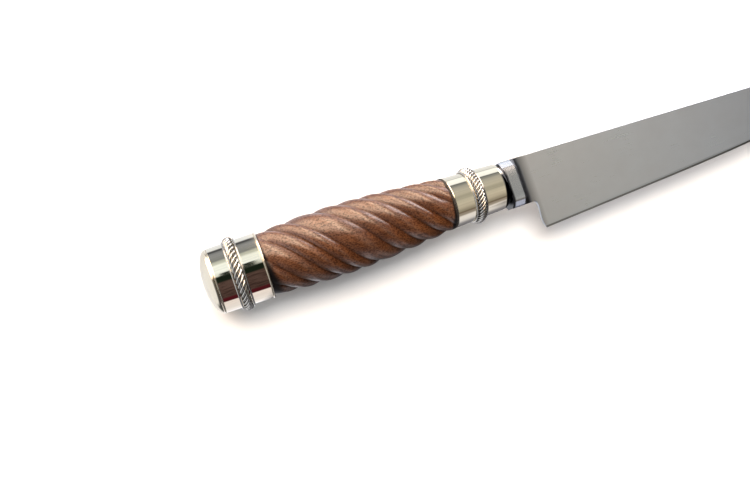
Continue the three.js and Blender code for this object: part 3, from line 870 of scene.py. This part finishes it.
DARK_BROWN = (0.030, 0.016, 0.014)

# The strips meet where "ahead" passes these values: (fade from, fade to, the strip from there on).
STRIPS = [(0.012, 0.035, MIDDLE_BANDS), (0.30, 0.345, FRONT_BANDS), (0.56, 0.62, AHEAD_BANDS)]
BEHIND = {"ahead": (-0.72, -0.12), "soft": 0.03}
FAR_BEHIND = (-0.60, -0.76)
# Dark shapes above the rear ferrule: (ahead from, ahead to, angle from, angle to).
DARK_SHAPES = [(-0.060, -0.043, -15, -5), (-0.030, -0.008, -21, -5)]
SHAPE_SOFT = {"ahead": 0.0015, "angle": 1.0}
# Dark streaks in the brown band that the rear ferrule mirrors.
STREAKS = {"angles": (16.0, 70.0), "soft": 2.0, "levels": (0.46, 0.60), "depth": 0.8}
STREAK_SCALE = (70.0, 14.0, 14.0)
# The studio is black ahead of a line that runs slantwise across the angles.
DARK_AHEAD = {"angles": (-10.0, 95.0), "ahead": (0.68, 0.41), "soft": 0.05, "begins": (-58.0, -48.0)}
UNEVEN_SCALE = (9.0, 9.0, 9.0)


def inside(nodes, source, limits, soft):
    """1 where a value lies between two limits, and 0 outside, with a soft change at each."""
    low, high = limits
    entered = nodes.remap(source, low - soft, low + soft, 0.0, 1.0)
    left = nodes.remap(source, high - soft, high + soft, 1.0, 0.0)
    return nodes.math("MULTIPLY", entered, left)


class Directions:
    """The direction that a ray of the world leaves in, as sockets to paint by."""

    def __init__(self, nodes):
        self.nodes = nodes
        self.vector = nodes.add("ShaderNodeTexCoord").outputs["Generated"]
        split = nodes.add("ShaderNodeSeparateXYZ")
        nodes.link(self.vector, split.inputs[0])
        self.ahead = split.outputs["X"]
        across = nodes.math("MULTIPLY", split.outputs["Y"], -1.0)
        self.degrees = nodes.math("DEGREES", nodes.math("ARCTAN2", across, split.outputs["Z"]))
        self.turned = nodes.remap(self.degrees, -180.0, 180.0, 0.0, 1.0)

    def bands(self, bands):
        """Colours by the angle from straight up."""
        return self.nodes.ramp(self.turned, [((degrees + 180) / 360, colour) for degrees, colour in bands])

    def noise(self, scale):
        mapping = self.nodes.add("ShaderNodeMapping")
        mapping.inputs["Scale"].default_value = scale
        self.nodes.link(self.vector, mapping.inputs["Vector"])
        noise = self.nodes.add("ShaderNodeTexNoise")
        noise.inputs["Scale"].default_value = 1.0
        noise.inputs["Detail"].default_value = 3.0
        self.nodes.link(mapping.outputs["Vector"], noise.inputs["Vector"])
        return noise.outputs["Fac"]


def rear_surroundings(nodes, directions):
    """What the rear ferrule and the cap mirror."""
    colour = directions.bands(REAR_BANDS)
    for ahead_from, ahead_to, angle_from, angle_to in DARK_SHAPES:
        along = inside(nodes, directions.ahead, (ahead_from, ahead_to), SHAPE_SOFT["ahead"])
        over = inside(nodes, directions.degrees, (angle_from, angle_to), SHAPE_SOFT["angle"])
        colour = nodes.mix(nodes.math("MULTIPLY", along, over), colour, DARK_GREEN)
    streaks = nodes.remap(directions.noise(STREAK_SCALE), *STREAKS["levels"], 0.0, STREAKS["depth"])
    in_brown = inside(nodes, directions.degrees, STREAKS["angles"], STREAKS["soft"])
    colour = nodes.mix(nodes.math("MULTIPLY", streaks, in_brown), colour, DARK_BROWN)
    behind = inside(nodes, directions.ahead, BEHIND["ahead"], BEHIND["soft"])
    return nodes.mix(behind, colour, directions.bands(BEHIND_BANDS))


def surroundings(nodes, directions):
    """The studio's strips from the rear to the front, with black ahead and white far behind."""
    ahead, degrees = directions.ahead, directions.degrees
    colour = rear_surroundings(nodes, directions)
    for fade_from, fade_to, bands in STRIPS:
        colour = nodes.mix(nodes.remap(ahead, fade_from, fade_to, 0.0, 1.0), colour, directions.bands(bands))
    line = nodes.remap(degrees, *DARK_AHEAD["angles"], *DARK_AHEAD["ahead"])
    past = nodes.remap(nodes.math("SUBTRACT", ahead, line), 0.0, DARK_AHEAD["soft"], 0.0, 1.0)
    begun = nodes.remap(degrees, *DARK_AHEAD["begins"], 0.0, 1.0)
    colour = nodes.mix(nodes.math("MULTIPLY", past, begun), colour, BLACK)
    return nodes.mix(nodes.remap(ahead, *FAR_BEHIND, 0.0, 1.0), colour, NEAR_WHITE)


def studio():
    """Soft lights, dark gaps and a pale backdrop, all in the world."""
    world = bpy.data.worlds.new("studio")
    bpy.context.scene.world = world
    world.use_nodes = True
    nodes = Nodes(world.node_tree)
    background = world.node_tree.nodes["Background"]
    output = world.node_tree.nodes["World Output"]
    directions = Directions(nodes)
    nodes.link(surroundings(nodes, directions), background.inputs["Color"])
    uneven = nodes.remap(directions.noise(UNEVEN_SCALE), 0.3, 0.7, 0.9, 1.1)
    nodes.link(uneven, background.inputs["Strength"])
    backdrop = nodes.add("ShaderNodeBackground")
    backdrop.inputs["Color"].default_value = BACKDROP
    path = nodes.add("ShaderNodeLightPath")
    chooser = nodes.add("ShaderNodeMixShader")
    nodes.link(path.outputs["Is Camera Ray"], chooser.inputs[0])
    nodes.link(background.outputs[0], chooser.inputs[1])
    nodes.link(backdrop.outputs[0], chooser.inputs[2])
    nodes.link(chooser.outputs[0], output.inputs["Surface"])


# Each panel's name, its place from the point it lights, its size in metres, its watts and its colour.
PANELS = [
    ("window", (-0.05, 0.36, 0.93), (0.8, 0.55), 8.6, (0.98, 0.98, 0.98)),
    ("side", (0.62, 0.62, 0.40), (0.5, 0.4), 2.0, (1.0, 0.95, 0.93)),
    ("fill", (0.1, -0.1, 1.1), (0.9, 0.7), 2.9, (0.90, 0.94, 1.0)),
]
LIT_X = 70


def area_light(name, position, target, size, power, colour):
    """A soft panel that lights the knife and the floor but isn't mirrored in the metal."""
    data = bpy.data.lights.new(name, "AREA")
    data.shape = "RECTANGLE"
    data.size, data.size_y = size
    data.energy = power
    data.color = colour
    made = bpy.data.objects.new(name, data)
    bpy.context.scene.collection.objects.link(made)
    made.location = position
    made.rotation_euler = (target - position).to_track_quat("-Z", "Y").to_euler()
    made.visible_glossy = False


def lights():
    middle = place(LIT_X, 0, 0)
    for name, offset, size, power, colour in PANELS:
        area_light(name, middle + Vector(offset), middle, size, power, colour)


def camera():
    data = bpy.data.cameras.new("camera")
    data.sensor_width = LENS["sensor"]
    data.lens = LENS["focal"]
    data.clip_start = LENS["clip"]
    made = bpy.data.objects.new("camera", data)
    bpy.context.scene.collection.objects.link(made)
    eye, target = place(*CAMERA["eye"]), place(*CAMERA["target"])
    forward = (target - eye).normalized()
    level_up = (Vector((0, 1, 0)) - forward * forward.y).normalized()
    right = forward.cross(level_up)
    roll = math.radians(CAMERA["roll"])
    up = level_up * math.cos(roll) + right * math.sin(roll)
    right = forward.cross(up)
    turn = Matrix((right, up, -forward)).transposed().to_4x4()
    made.matrix_world = Matrix.Translation(eye) @ turn
    bpy.context.scene.camera = made


# ---------------------------------------------------------------- the scene


def dress_hidden_parts(silver):
    """Materials of the CAD pieces that keep their own shape."""
    finishes = {
        "front_ferrule_end_plate": silver,
        "grip_spacer_ring": spacer_fibre(),
        "tang_nut": metal("hardware_steel"),
        "tang_bush": metal("bush_brass"),
        "resin_bedding": bedding_resin(),
    }
    finishes["tang_washer"] = finishes["tang_nut"]
    for node, material in finishes.items():
        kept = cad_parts[node]
        kept.data.materials.clear()
        kept.data.materials.append(material)


def build():
    silver, wire = metal("nickel_silver"), metal("twisted_wire")
    rear_sleeve(silver)
    front_sleeve(metal("silver_with_painted_shade", painted_mouth_shade))
    pommel_cap(metal("satin_silver"))
    wood_grip(hardwood())
    wire_band("rear", REAR_ROPE, rear_ferrule_radius, wire)
    wire_band("front", FRONT_ROPE, front_ferrule_radius, wire)
    blade([metal("blade_steel", painted_fillet_shade), metal("bolster_steel", painted_joint_shade), metal("ground_edge")])
    dress_hidden_parts(silver)
    floor()
    studio()
    lights()
    camera()
    bpy.context.scene.view_settings.view_transform = "Standard"


build()
